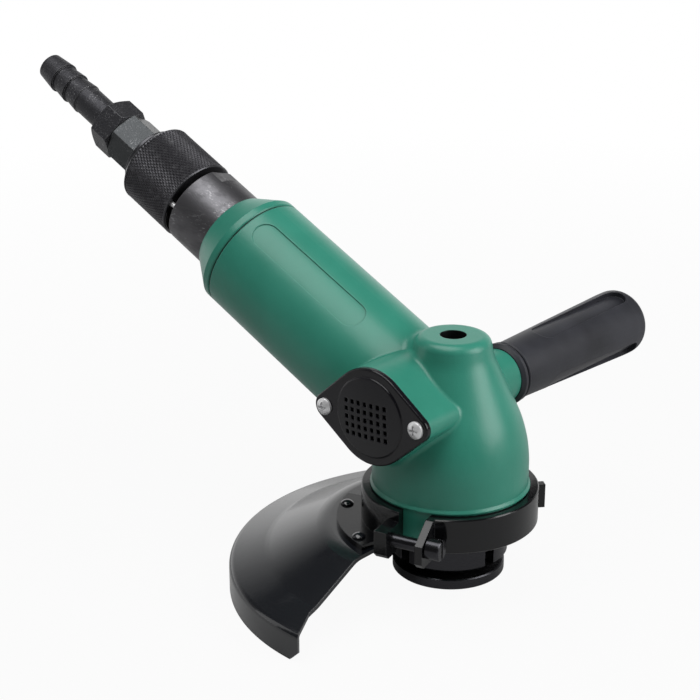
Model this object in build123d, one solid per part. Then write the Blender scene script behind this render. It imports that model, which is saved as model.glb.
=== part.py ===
from build123d import *
import math
import os

os.makedirs("parts", exist_ok=True)

# gaps between pieces
fit_gap = 0.03  # round a fitted or screwed piece
running_gap = 0.06  # round a turning piece
pass_gap = 0.4  # between pieces that only pass each other
broken_edge = 0.5  # on the edges of turned pieces

# bevel gears, which also set the slope of the barrel
pinion_teeth = 17
crown_teeth = 38
gear_module = 1.5
gear_face = 8.0
gear_play = 0.2
pressure_angle = 20.0
slope = math.asin(pinion_teeth / crown_teeth)
crown_r = crown_teeth * gear_module / 2
tooth_top = gear_module
tooth_foot = 1.25 * gear_module

# gear head, heights above the wheel seat
axis_z = 65.0  # where barrel line and spindle line cross
neck_bottom_z = 25.0
rim_z = 42.2
lip_r = 36.5  # flared lip at the rim
lip_edge = 0.6
lip_height = 1.8
shoulder_z = 52.0
boss_root_z = 110.0
top_z = 113.0
bell_r = 35.6
bell_arc = 65.0
throat_arc = 20.0
boss_r = 17.6
boss_draft = 12.0  # degrees
boss_edge = 4.5
neck_r = 35.9
head_wall = 4.2
gear_room_z = 69.5
spindle_room_r = 19.0
spindle_room_z = 86.0
top_hole_r = 5.95
top_hole_depth = 14.0

# barrel, stations along its line from the spindle line
barrel_r = 29.7
barrel_end = 135.0
barrel_blend = 5.0
grip_boss_blend = 3.0
cover_boss_blend = 2.5
bore_r = 25.4
bore_start = 38.0
tunnel_r = 15.5
tunnel_start = 5.0
pad_middle = 94.0
pad_length = 72.0
pad_width = 13.0
pad_angle = -31.0
pad_depth = 0.5

# exhaust boss and cover
exhaust_x = -12.6
exhaust_z = 82.9
exhaust_face = 39.4
exhaust_turn = 3.1
cover_mid_r = 22.3
cover_end_r = 6.0
cover_half = 26.0
cover_plate = 2.6
cover_edge = 0.8
dome_r = 18.4
dome_wall = 1.8
dome_side = 0.6
dome_rise = 1.0
dome_edge = 0.5
vent_size = 2.0
vent_across = 3.65
vent_up = 3.7
vent_left = 1.4
vent_down = 1.3
vent_columns = 7
vent_rows = 5
pocket_r = 16.0
pocket_depth = 8.0
silencer_depth = 5.0
cover_screw_r = 2.0
cover_screw_length = 11.0
cover_head_r = 3.9
cover_head = 2.6
recess_length = 4.6
recess_width = 1.0
recess_depth = 1.7
port_r = 3.5
port_offset = 13.0
port_station = 57.0
port_side = 22.0
port_drop = 6.0

# side handle
handle_z = 83.4
handle_boss_r = 12.9
handle_boss_y = 35.2
stud_r = 7.0
stud_depth = 12.0
stud_in_grip = 43.0
grip_flange_r = 14.9
grip_flange = 3.6
grip_flange_edge = 1.6
grip_groove_r = 13.0
grip_groove = 1.2
grip_ring_r = 14.6
grip_ring = 1.4
grip_root_r = 13.8
grip_end_r = 16.6
grip_length = 103.8
grip_straight = 9.6  # at the outer end
grip_end_round = 4.0
flute_count = 3
flute_angle = 80.0
flute_floor_r = 14.1
flute_width = 11.5
flute_start = 26.3
flute_end_gap = 5.5

# rear cap and throttle
gasket = 0.6
gasket_inset = 0.7
seam_step = 0.2
cap_rim = 3.6
cap_length = 17.2
cap_end_r = 21.6
cap_spigot = 7.0
cap_room_r = 19.0
cap_room = 8.0
collar_r = 20.8
collar_length = 24.6
collar_flat = 19.3
collar_flat_length = 8.3
collar_flat_angle = 17.0
stem_r = 13.0
nose_r = 9.4
spigot_r = 11.4
air_r = 7.5
air_depth = 10.8  # into the collar
inlet_r = 5.0
sleeve_r = 21.2
sleeve_gap = 3.2
sleeve_length = 33.5
sleeve_chamfer = 2.2
throttle_turn = 60.0
stop_pin_r = 1.25
stop_pin_angle = -81.0
stop_pin_circle = 18.2
stop_pin_in_collar = 6.8
stop_pin_in_sleeve = 3.0
drive_pin_r = 1.5
drive_pin_in = 17.0  # from the sleeve's front
drive_pin_angle = 130.0
drive_pin_inner = 3.2
drive_pin_outer = 20.6
valve_front = 9.7  # from its pin to either end
valve_rear = 7.0
seat_disc = 3.0
valve_port_angle = 50.0
valve_port_rim = 1.2
valve_port_width = 3.2
o_ring_r = 0.9
o_ring_groove = 2.4
o_ring_in = (3.6, 3.5)  # from the sleeve's ends
stop_ring_r = 16.5
stop_ring = 3.1
cap_end = barrel_end + cap_length
cap_room_end = barrel_end + cap_room
collar_end = cap_end + collar_length
collar_flat_start = collar_end - collar_flat_length
air_start = collar_end - air_depth
sleeve_start = collar_end + sleeve_gap
sleeve_end = sleeve_start + sleeve_length
stop_ring_from = sleeve_end + pass_gap
stem_end = stop_ring_from + stop_ring
stop_pin_start = collar_end - stop_pin_in_collar
stop_pin_end = sleeve_start + stop_pin_in_sleeve
drive_pin_station = sleeve_start + drive_pin_in
valve_start = drive_pin_station - valve_front
valve_end = drive_pin_station + valve_rear
o_ring_stations = (sleeve_start + o_ring_in[0], sleeve_end - o_ring_in[1])

# hose end
bushing_flats = 24.0
bushing_length = 19.0
bushing_turn = 27.0  # degrees, as it came to rest when screwed home
barb_hex_flats = 25.0
barb_hex_length = 13.0
hex_chamfer = 1.6
barb_nose_r = 7.9
barb_nose = 6.0
barb_shank_r = 7.9
barb_shank = 20.8
barb_ridge_r = 8.4
barb_valley_r = 7.3
barb_pitch = 9.7
barb_count = 3
barb_last = 11.3  # from the last ridge to the tip
barb_tip_r = 7.0
barb_bore_r = 4.6
bushing_end = stem_end + bushing_length
nose_end = bushing_end - barb_nose - 1
barb_hex_end = bushing_end + barb_hex_length
barb_first = barb_hex_end + barb_shank
barb_tip = barb_first + (barb_count - 1) * barb_pitch + barb_last

# air motor
rotor_r = 17.5
rotor_shift = 2.2
rotor_gap = 0.3
liner_start = 50.0
liner_end = 116.0
plate_web = 3.0
rear_plate_end = 128.0
vane_count = 5
vane_thickness = 3.0
vane_height = 8.0
vane_sink = 0.15
vane_float = 0.4
front_bearing = (7.5, 16.0, 9.0, 2.4, 9)
rear_bearing = (6.0, 14.0, 8.0, 2.4, 8)
rotor_step_r = 8.6
pinion_seat_r = 6.0
pinion_hub_r = 10.5
pinion_key = 3.0
pinion_key_low = 1.5
pinion_key_high = 1.4
pinion_key_start = 27.0
shaft_hole_gap = 0.6
feed_hole_r = 2.2
feed_circle = 19.5
feed_angle = 40.0

# spindle line
lower_bearing = (10.0, 23.5, 14.0, 4.0, 8)
bearing_z = 31.0
shaft_r = 8.0
collar_height = 4.0
spindle_collar_r = 12.0
gear_top_z = 58.0
gear_hub_r = 14.5
gear_web_z = 54.0
gear_rim = 0.5
gear_key = 4.0
gear_key_length = 9.0
gear_key_low = 2.0
gear_key_high = 1.8
gear_key_step = 1.5
journal_r = 6.5
bush_wall = 3.0
bush_length = 10.0
flange_r = 25.8
flange_thick = 5.0
flange_hub_r = 13.5
flange_step_z = 9.0
pilot_r = 11.1
pilot_depth = 4.0
wheel_thread_r = 4.25
wheel_thread_depth = 22.0
retainer_r = 27.0
retainer_bottom_z = 9.0
retainer_top_z = 24.8
retainer_edge = 1.4
retainer_bore_r = 17.2
retainer_notches = 4
retainer_notch = 5.5
retainer_notch_floor_r = 19.5
retainer_notch_top_z = 17.5
retainer_notch_angle = -9.0
thread_r = 25.0
seal_z = 23.5
seal_width = 6.0

# guard and its clamp
band_r = 40.5
band_bottom_z = 25.5
band_top_z = 41.6
split_angle = -76.0
split_width = 13.5
ear_thick = 3.5
ear_block = 6.0
ear_in = 38.0
ear_out = 52.5
ear_top_z = 34.0
ear_bottom_z = 23.0
ear_block_top_z = 37.0
ear_block_bottom_z = 23.8
ear_corner = 2.5
clamp_out = 46.5
clamp_z = 31.5
clamp_screw_r = 3.0
clamp_head_r = 4.8
clamp_head = 7.0
clamp_slot = 1.4
clamp_slot_depth = 2.2
lug_angle = 50.0
lug_out = 44.6
lug_thick = 4.0
lug_bottom_z = 26.6
lug_top_z = 38.0
bracket_r = 51.8
bracket_thick = 2.6
bracket_from = 108.0
bracket_to = 173.0
bracket_foot = 3.0
rivet_angles = (117.0, 159.5)
rivet_circle = 48.0
rivet_r = 1.7
rivet_head_r = 3.0
rivet_head = 2.0
rivet_tail = 1.0
guard_thick = 2.0
guard_hub_z = 23.2
guard_inner_r = 42.0
guard_flat_r = 58.0
guard_knee_r = 84.0
guard_knee_z = 10.6
guard_r = 101.5
guard_edge_z = 5.2
guard_bottom_z = -8.0
guard_turn = 8.0  # of the guard's middle, from straight under the barrel
guard_half = 82.0  # half of its sweep
guard_cut = 6.2
guard_cut_r = 89.0
guard_cut_rim = 0.9
guard_bends = (14.0, 18.0, 3.2)
guard_corner = 5.2


# solid of revolution about Z from (radius, height) points
def turned(*points):
    outline = Polyline(*[(r, 0, z) for r, z in points], close=True)
    return revolve(make_face(outline), Axis.Z)


def ring(outer, inner, low, high):
    return turned((inner, low), (outer, low), (outer, high), (inner, high))


def rod(radius, low, high):
    return ring(radius, 0, low, high)


# rod or ring with broken outer edges
def eased(outer, inner, low, high):
    return turned(
        (inner, low),
        (outer - broken_edge, low),
        (outer, low + broken_edge),
        (outer, high - broken_edge),
        (outer - broken_edge, high),
        (inner, high),
    )


def block(x0, x1, y0, y1, z0, z1):
    return Pos((x0 + x1) / 2, (y0 + y1) / 2, (z0 + z1) / 2) * Box(x1 - x0, y1 - y0, z1 - z0)


# hexagon bar with its corners turned off at both ends
def hexagon(flats, low, high):
    outline = RegularPolygon(flats / 2, 6, major_radius=False, rotation=30)
    outer = flats / math.sqrt(3) + 1
    end_r = outer - 2 * hex_chamfer
    chamfer_from, chamfer_to = low + hex_chamfer, high - hex_chamfer
    turning = turned((0, low), (end_r, low), (outer, chamfer_from), (outer, chamfer_to), (end_r, high), (0, high))
    return Pos(0, 0, low) * extrude(outline, high - low) & turning


# part of a ring, from the start angle over the sweep
def sector(outer, inner, low, high, start, sweep):
    outline = Polyline((inner, 0, low), (outer, 0, low), (outer, 0, high), (inner, 0, high), close=True)
    return Rot(0, 0, start) * revolve(make_face(outline), Axis.Z, sweep)


# frame whose Z points outward at an angle round the turning line and whose X runs along that line
def spoke(angle):
    a = math.radians(angle)
    return Plane(origin=(0, 0, 0), x_dir=(0, 0, 1), z_dir=(math.cos(a), math.sin(a), 0)).location


# outer race, inner race and the set of balls
def ball_bearing(sizes, low):
    bore, outer, width, ball_r, count = sizes
    circle = (bore + outer) / 2
    lip = 0.4 * ball_r
    middle = low + width / 2
    groove = Pos(0, 0, middle) * Torus(circle, ball_r + running_gap)
    outer_race = ring(outer, circle + lip, low, low + width) - groove
    inner_race = ring(circle - lip, bore, low, low + width) - groove
    spots = [Rot(0, 0, 360 * k / count) * Pos(circle, 0, middle) for k in range(count)]
    balls = [spot * Sphere(ball_r) for spot in spots]
    return outer_race, inner_race, balls


barrel_line = (-math.cos(slope), 0, math.sin(slope))
barrel_up = (math.sin(slope), 0, math.cos(slope))
motor = Plane(origin=(0, 0, axis_z), x_dir=barrel_up, z_dir=barrel_line).location
lean = math.radians(exhaust_turn)
cover_along = (math.cos(lean), 0, math.sin(lean))
exhaust = Plane(origin=(exhaust_x, 0, exhaust_z), x_dir=cover_along, z_dir=(0, -1, 0)).location
side = Plane(origin=(0, 0, handle_z), x_dir=(1, 0, 0), z_dir=(0, 1, 0)).location
pieces = {}


# body of the gear head: upright wall, convex shoulder, straight flank, slight hollow, drafted top boss
def bell(inset, low, high):
    both = bell_arc + throat_arc
    out, rise = boss_r - bell_r + both, boss_root_z - shoulder_z
    turn = math.atan2(rise, out) - math.acos(both / math.hypot(out, rise))
    draft = math.radians(boss_draft)

    def shoulder(angle):
        reach = bell_arc - inset
        return (bell_r - bell_arc + reach * math.cos(angle), 0, shoulder_z + reach * math.sin(angle))

    def throat(angle):
        reach = throat_arc + inset
        return (boss_r + throat_arc - reach * math.cos(angle), 0, boss_root_z - reach * math.sin(angle))

    root = throat(draft)
    crown = (root[0] - (high - root[2]) * math.tan(draft), 0, high)
    edges = [
        Line((0, 0, low), (bell_r - inset, 0, low)),
        Line((bell_r - inset, 0, low), shoulder(0)),
        ThreePointArc(shoulder(0), shoulder(turn / 2), shoulder(turn)),
        Line(shoulder(turn), throat(turn)),
        ThreePointArc(throat(turn), throat((turn + draft) / 2), root),
        Line(root, crown),
        Line(crown, (0, 0, high)),
        Line((0, 0, high), (0, 0, low)),
    ]
    return revolve(make_face(edges), Axis.Z)


def lozenge(middle_r, end_r, half):
    circles = Circle(middle_r) + Pos(half, 0) * Circle(end_r) + Pos(-half, 0) * Circle(end_r)
    return make_hull(circles.edges())


# upright cylinder with a shallow spherical top
def domed(radius, low, side_top, rise):
    ball = (radius**2 + rise**2) / (2 * rise)
    half = side_top + rise - ball + math.sqrt(ball**2 - radius**2 / 4)
    edges = [
        Line((0, 0, low), (radius, 0, low)),
        Line((radius, 0, low), (radius, 0, side_top)),
        ThreePointArc((radius, 0, side_top), (radius / 2, 0, half), (0, 0, side_top + rise)),
        Line((0, 0, side_top + rise), (0, 0, low)),
    ]
    return revolve(make_face(edges), Axis.Z)


# exhaust passage from the motor bore to the pocket behind the cover
port_from = Vector(exhaust_x - port_offset, -exhaust_face + pocket_depth - port_r, exhaust_z)
port_to = (motor * Pos(-port_drop, -port_side, port_station)).position
port = Plane(origin=port_from, z_dir=port_to - port_from).location
port_rod = port * rod(port_r, 0, (port_to - port_from).length + port_r)

# painted casing
head = bell(0, rim_z, top_z)
head = fillet(head.faces().sort_by(Axis.Z)[-1].edges(), boss_edge)
lip_z = rim_z + lip_height
head = head + turned((0, rim_z), (lip_r, rim_z), (lip_r, rim_z + lip_edge), (bell_r, lip_z), (0, lip_z))
barrel = motor * eased(barrel_r, 0, 0, barrel_end)
casing = head + barrel
casing = fillet(new_edges(head, barrel, combined=casing), barrel_blend)
grip_boss = side * rod(handle_boss_r, 0, handle_boss_y)
cover_boss = exhaust * extrude(lozenge(cover_mid_r, cover_end_r, cover_half), exhaust_face)
for boss, blend in ((grip_boss, grip_boss_blend), (cover_boss, cover_boss_blend)):
    joined = casing + boss
    casing = fillet(new_edges(casing, boss, combined=joined), blend)
casing = casing + rod(neck_r, neck_bottom_z, rim_z + 1)

race_r = lower_bearing[1] + fit_gap
race_top_z = bearing_z + lower_bearing[2]
bush_r = journal_r + bush_wall
bush_top_z = spindle_room_z + bush_length
pad = extrude(SlotOverall(pad_length, pad_width), barrel_r + 1)
pad = motor * spoke(pad_angle) * Pos(pad_middle, 0) * pad
pad = pad - motor * rod(barrel_r - pad_depth, 0, barrel_end)
cover_spots = [exhaust * Pos(k * cover_half, 0) for k in (-1, 1)]
casing = casing - pad
casing = casing - rod(thread_r + fit_gap, neck_bottom_z - 1, bearing_z)
casing = casing - rod(race_r, bearing_z - 1, race_top_z)
casing = casing - (bell(head_wall, race_top_z, top_z) & rod(bell_r, race_top_z, gear_room_z))
casing = casing - rod(spindle_room_r, gear_room_z - 1, spindle_room_z)
casing = casing - rod(bush_r + fit_gap, spindle_room_z - 1, bush_top_z)
casing = casing - rod(top_hole_r, top_z - top_hole_depth, top_z + 1)
casing = casing - motor * rod(tunnel_r, tunnel_start, bore_start + 1)
casing = casing - motor * rod(bore_r + fit_gap, bore_start, barrel_end + 1)
casing = casing - side * rod(stud_r + fit_gap, handle_boss_y - stud_depth, handle_boss_y + 1)
casing = casing - exhaust * rod(pocket_r, exhaust_face - pocket_depth, exhaust_face + 1)
casing = casing - port_rod
screw_floor = exhaust_face - cover_screw_length
for spot in cover_spots:
    casing = casing - spot * rod(cover_screw_r + fit_gap, screw_floor, exhaust_face + 1)
pieces["main_casing"] = casing

# exhaust cover, its silencer pad and screws
cover_top = exhaust_face + cover_plate
cover = Pos(0, 0, exhaust_face) * extrude(lozenge(cover_mid_r, cover_end_r, cover_half), cover_plate)
cover = fillet(cover.faces().sort_by(Axis.Z)[-1].edges(), cover_edge)
dome = domed(dome_r, exhaust_face, cover_top + dome_side, dome_rise)
cover = cover + fillet(dome.faces().sort_by(Axis.Z)[-1].edges(), dome_edge)
cover = cover - domed(dome_r - dome_wall, exhaust_face - 1, cover_top + dome_side - dome_wall, dome_rise)
grid = GridLocations(vent_across, vent_up, vent_columns, vent_rows)
vents = Sketch() + [spot * Rectangle(vent_size, vent_size) for spot in grid]
vents = extrude(vents, cover_plate + dome_side + dome_rise + 1)
cover = cover - Pos(-vent_left, -vent_down, exhaust_face) * vents
screw_way = rod(cover_screw_r + pass_gap, exhaust_face - 1, cover_top + 1)
for k in (-1, 1):
    cover = cover - Pos(k * cover_half, 0, 0) * screw_way
pieces["exhaust_cover"] = exhaust * cover
pieces["exhaust_silencer"] = exhaust * rod(pocket_r - pass_gap, exhaust_face - silencer_depth, exhaust_face)
head_top = cover_top + cover_head
screw = domed(cover_head_r, cover_top, cover_top + 0.4 * cover_head, 0.6 * cover_head)
screw = screw + rod(cover_screw_r, screw_floor + 1, cover_top)
recess = Pos(0, 0, head_top - recess_depth / 2) * Box(recess_length, recess_width, recess_depth)
for k in (0, 90):
    screw = screw - Rot(0, 0, k) * recess
pieces["exhaust_screws"] = [spot * screw for spot in cover_spots]

# side handle on its stud
groove_y = handle_boss_y + grip_flange
ring_y = groove_y + grip_groove
grip_from = ring_y + grip_ring
grip_to = handle_boss_y + grip_length
grip = turned(
    (0, handle_boss_y),
    (grip_flange_r - grip_flange_edge, handle_boss_y),
    (grip_flange_r, handle_boss_y + grip_flange_edge),
    (grip_flange_r, groove_y - broken_edge),
    (grip_flange_r - broken_edge, groove_y),
    (grip_groove_r, groove_y),
    (grip_groove_r, ring_y),
    (grip_ring_r - broken_edge, ring_y),
    (grip_ring_r, ring_y + broken_edge),
    (grip_ring_r, grip_from - broken_edge),
    (grip_root_r, grip_from),
    (grip_end_r, grip_to - grip_straight),
    (grip_end_r, grip_to),
    (0, grip_to),
)
grip = fillet(grip.faces().sort_by(Axis.Z)[-1].edges(), grip_end_round)
flute_length = grip_length - flute_start - flute_end_gap
flute_middle = handle_boss_y + flute_start + flute_length / 2
flute = Pos(flute_middle, 0) * extrude(SlotOverall(flute_length, flute_width), grip_end_r + 2)
for k in range(flute_count):
    turn = -flute_angle + 360 * k / flute_count
    grip = grip - (spoke(turn) * flute - rod(flute_floor_r, 0, grip_to + 1))
stud_to = handle_boss_y + stud_in_grip
grip = grip - rod(stud_r + fit_gap, handle_boss_y - 1, stud_to)
pieces["side_handle"] = side * grip
pieces["handle_stud"] = side * rod(stud_r, handle_boss_y - stud_depth + 1, stud_to - 1)

# rear cap and the gasket in its seam
cap_from = barrel_end + gasket
cap_step_r = bore_r - seam_step
pieces["seam_gasket"] = motor * ring(barrel_r - gasket_inset, cap_step_r, barrel_end, cap_from)
cap = turned(
    (0, barrel_end - cap_spigot),
    (bore_r, barrel_end - cap_spigot),
    (bore_r, barrel_end),
    (cap_step_r - fit_gap, barrel_end),
    (cap_step_r - fit_gap, cap_from),
    (barrel_r - broken_edge, cap_from),
    (barrel_r, cap_from + broken_edge),
    (barrel_r, cap_from + cap_rim),
    (cap_end_r, cap_end),
    (0, cap_end),
)
cap = cap - rod(cap_room_r, barrel_end - cap_spigot - 1, cap_room_end)
cap = cap - rod(spigot_r + fit_gap, cap_room_end - 1, cap_end + 1)
pieces["rear_cap"] = motor * cap

# throttle body: collar with two spanner flats, stem for the sleeve, screwed nose
body = rod(spigot_r, cap_room_end, cap_end) + eased(collar_r, 0, cap_end, collar_end)
body = body + rod(stem_r, collar_end, stem_end) + rod(nose_r, stem_end, nose_end)
for k in (0, 180):
    flat = block(collar_flat, collar_r + 1, -collar_r, collar_r, collar_flat_start, collar_end + 1)
    body = body - Rot(0, 0, collar_flat_angle + k) * flat
body = body - rod(air_r, air_start, nose_end + 1) - rod(inlet_r, cap_room_end - 1, air_start)
groove_floor_r = stem_r - 2 * o_ring_r - fit_gap
groove_half = o_ring_groove / 2
for station in o_ring_stations:
    body = body - ring(stem_r + 1, groove_floor_r, station - groove_half, station + groove_half)
pin_slot = drive_pin_r + pass_gap
swing = math.degrees(math.asin(pin_slot / air_r))
slot_low = drive_pin_station - pin_slot
slot_high = drive_pin_station + pin_slot
slot_sweep = throttle_turn + 2 * swing
body = body - sector(stem_r + 1, air_r - 1, slot_low, slot_high, drive_pin_angle - swing, slot_sweep)
stop_spot = Rot(0, 0, stop_pin_angle) * Pos(stop_pin_circle, 0)
body = body - stop_spot * rod(stop_pin_r + fit_gap, stop_pin_start, collar_end + 1)
pieces["throttle_body"] = motor * body
pieces["throttle_stop_pin"] = motor * stop_spot * rod(stop_pin_r, stop_pin_start, stop_pin_end)
rings = [Pos(0, 0, station) * Torus(stem_r - o_ring_r, o_ring_r) for station in o_ring_stations]
pieces["throttle_o_rings"] = [motor * one for one in rings]

# twist sleeve with the valve it turns
sleeve_bore = stem_r + running_gap
sleeve = turned(
    (sleeve_bore, sleeve_start),
    (sleeve_r - broken_edge, sleeve_start),
    (sleeve_r, sleeve_start + broken_edge),
    (sleeve_r, sleeve_end - sleeve_chamfer),
    (sleeve_r - sleeve_chamfer, sleeve_end),
    (sleeve_bore, sleeve_end),
)
stop_slot = stop_pin_r + pass_gap
stop_swing = math.degrees(math.asin(stop_slot / stop_pin_circle))
stop_start = stop_pin_angle - throttle_turn - stop_swing
stop_sweep = throttle_turn + 2 * stop_swing
stop_outer = stop_pin_circle + stop_slot
stop_inner = stop_pin_circle - stop_slot
stop_end = stop_pin_end + pass_gap
sleeve = sleeve - sector(stop_outer, stop_inner, sleeve_start - 1, stop_end, stop_start, stop_sweep)
pin_way = spoke(drive_pin_angle) * Pos(drive_pin_station, 0)
sleeve = sleeve - pin_way * rod(drive_pin_r + fit_gap, 0, sleeve_r + 1)
pieces["throttle_sleeve"] = motor * sleeve
pieces["throttle_drive_pin"] = motor * pin_way * rod(drive_pin_r, drive_pin_inner, drive_pin_outer)


# two opposite openings through a valve disc
def air_ports(low, high, middle):
    outer = air_r - valve_port_rim
    inner = outer - valve_port_width
    starts = [middle + k - valve_port_angle / 2 for k in (90, -90)]
    return [sector(outer, inner, low - 1, high + 1, start, valve_port_angle) for start in starts]


valve = rod(air_r - running_gap, valve_start, valve_end)
valve = valve - air_ports(valve_start, valve_end, drive_pin_angle)
valve = valve - pin_way * rod(drive_pin_r + fit_gap, drive_pin_inner, air_r + 1)
pieces["throttle_valve"] = motor * valve
seat_to = valve_start - running_gap
seat_from = seat_to - seat_disc
seat = rod(air_r - fit_gap, seat_from, seat_to)
pieces["throttle_seat"] = motor * (seat - air_ports(seat_from, seat_to, drive_pin_angle + throttle_turn))

# hose end
pieces["sleeve_stop_ring"] = motor * eased(stop_ring_r, stem_r + fit_gap, stop_ring_from, stem_end)
bushing = Rot(0, 0, bushing_turn) * hexagon(bushing_flats, stem_end, bushing_end)
bushing = bushing - rod(nose_r + fit_gap, stem_end - 1, nose_end + 0.5)
bushing = bushing - rod(barb_nose_r + fit_gap, bushing_end - barb_nose, bushing_end + 1)
bushing = bushing - rod(barb_bore_r, nose_end, bushing_end)
pieces["inlet_bushing"] = motor * bushing
barb = hexagon(barb_hex_flats, bushing_end, barb_hex_end)
barb = barb + rod(barb_nose_r, bushing_end - barb_nose + 0.5, bushing_end)
outline = [(0, barb_hex_end), (barb_shank_r, barb_hex_end), (barb_shank_r, barb_first)]
for k in range(barb_count):
    ridge = barb_first + k * barb_pitch
    last = k == barb_count - 1
    outline.append((barb_ridge_r, ridge))
    outline.append((barb_tip_r, barb_tip) if last else (barb_valley_r, ridge + barb_pitch))
outline.append((0, barb_tip))
barb = barb + turned(*outline) - rod(barb_bore_r, bushing_end - barb_nose, barb_tip + 1)
pieces["hose_barb"] = motor * barb

# air motor
front_to = liner_start - plate_web
front_from = front_to - front_bearing[2]
front_plate = rod(bore_r, bore_start, liner_start)
front_plate = front_plate - rod(rotor_step_r + shaft_hole_gap, bore_start, liner_start + 1)
front_plate = front_plate - rod(front_bearing[1] + fit_gap, bore_start - 1, front_to)
pieces["front_plate"] = motor * front_plate - port_rod
liner_bore_r = rotor_r + rotor_shift + running_gap
liner = rod(bore_r, liner_start, liner_end)
liner = liner - Pos(rotor_shift, 0) * rod(liner_bore_r, liner_start - 1, liner_end + 1)
pieces["motor_liner"] = motor * liner - port_rod
rear_from = rear_plate_end - rear_bearing[2]
rear_step_r = rear_bearing[0] + shaft_hole_gap
rear_plate = rod(bore_r, liner_end, rear_plate_end)
rear_plate = rear_plate - rod(rear_step_r + shaft_hole_gap, liner_end - 1, rear_from + 1)
rear_plate = rear_plate - rod(rear_bearing[1] + fit_gap, rear_from, rear_plate_end + 1)
for angle in (-feed_angle, feed_angle):
    feed = Rot(0, 0, angle) * Pos(feed_circle, 0) * rod(feed_hole_r, liner_end - 1, rear_plate_end + 1)
    rear_plate = rear_plate - feed
pieces["rear_plate"] = motor * rear_plate
for name, sizes, low in (("front", front_bearing, front_from), ("rear", rear_bearing, rear_from)):
    outer_race, inner_race, balls = ball_bearing(sizes, low)
    pieces[f"{name}_bearing_outer"] = motor * outer_race
    pieces[f"{name}_bearing_inner"] = motor * inner_race
    pieces[f"{name}_bearing_balls"] = [motor * ball for ball in balls]

rotor_from = liner_start + rotor_gap
rotor_to = liner_end - rotor_gap
pinion_from = (crown_r - gear_face) * math.cos(slope)
rotor = rod(rotor_r, rotor_from, rotor_to)
rotor = rotor + rod(rotor_step_r, front_to, rotor_from)
rotor = rotor + rod(front_bearing[0] - fit_gap, front_from, front_to)
rotor = rotor + rod(pinion_seat_r, pinion_from + 1, front_from)
rotor = rotor + rod(rear_step_r, rotor_to, rear_from)
rotor = rotor + rod(rear_bearing[0] - fit_gap, rear_from, rear_plate_end)
vane_top = rotor_r - vane_sink
vane_low = vane_top - vane_height
vane_half = vane_thickness / 2
slot_half = vane_half + 2 * fit_gap
vane = block(vane_low, vane_top, -vane_half, vane_half, rotor_from, rotor_to)
vane_slot = block(vane_low - vane_float, rotor_r + 1, -slot_half, slot_half, rotor_from - 1, rotor_to + 1)
spins = [Rot(0, 0, 360 * k / vane_count) for k in range(vane_count)]
for spin in spins:
    rotor = rotor - spin * vane_slot
key_half = pinion_key / 2
key_low = pinion_seat_r - pinion_key_low
key_high = pinion_seat_r + pinion_key_high
key_end = front_from - 2
rotor = rotor - block(key_low, pinion_seat_r + 1, -key_half, key_half, pinion_key_start, key_end)
pieces["rotor"] = motor * rotor
pieces["rotor_vanes"] = [motor * spin * vane for spin in spins]
pieces["pinion_key"] = motor * block(key_low, key_high, -key_half, key_half, pinion_key_start, key_end)


def involute(angle):
    return math.tan(angle) - angle


# cross-section of one tooth across the pitch cone, shrunk toward the crossing point by the scale
def pinion_tooth(scale):
    pitch = crown_r * math.tan(slope)
    base = pitch * math.cos(math.radians(pressure_angle))
    middle = math.pi * gear_module / 4 - gear_play / 2
    flank = []
    for k in range(5):
        radius = base + (pitch + tooth_top - base) * k / 4
        half = middle / pitch + involute(math.radians(pressure_angle)) - involute(math.acos(base / radius))
        flank.append((radius * math.sin(half), radius * math.cos(half) - pitch))
    flank = [(flank[0][0], -tooth_foot - 0.6)] + flank
    points = flank + [(-y, h) for y, h in reversed(flank)]
    out = crown_r * math.sin(slope)
    along = crown_r * math.cos(slope)
    corners = [(out + h * math.cos(slope), y, along - h * math.sin(slope)) for y, h in points]
    return make_face(Polyline(*[(scale * x, scale * y, scale * z) for x, y, z in corners], close=True))


# cross-section of one crown tooth across its pitch plane, shrunk toward the crossing point
def crown_tooth(scale):
    flank_lean = math.tan(math.radians(pressure_angle))
    middle = math.pi * gear_module / 4 - gear_play / 2
    low = -tooth_foot - 0.6
    points = [(middle - tooth_top * flank_lean, tooth_top), (middle - low * flank_lean, low)]
    points = points + [(-y, h) for y, h in reversed(points)]
    return make_face(Polyline(*[(scale * crown_r, scale * y, scale * h) for y, h in points], close=True))


# bevel pinion and crown gear
inner_scale = (crown_r - gear_face) / crown_r
root_out = crown_r * math.sin(slope) - tooth_foot * math.cos(slope)
root_along = crown_r * math.cos(slope) + tooth_foot * math.sin(slope)
pinion = turned(
    (0, root_along * inner_scale),
    (root_out * inner_scale, root_along * inner_scale),
    (root_out, root_along),
    (pinion_hub_r, root_along + 1),
    (pinion_hub_r, front_from),
    (0, front_from),
)
tooth = loft([pinion_tooth(1.0), pinion_tooth(inner_scale)], ruled=True)
pinion = pinion + [Rot(0, 0, 180 + 360 * (k + 0.5) / pinion_teeth) * tooth for k in range(pinion_teeth)]
pinion = pinion - rod(pinion_seat_r + fit_gap, 0, front_from + 1)
pinion = pinion - block(key_low, key_high + 0.1, -key_half, key_half, pinion_key_start, front_from + 1)
pieces["bevel_pinion"] = motor * pinion

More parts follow.
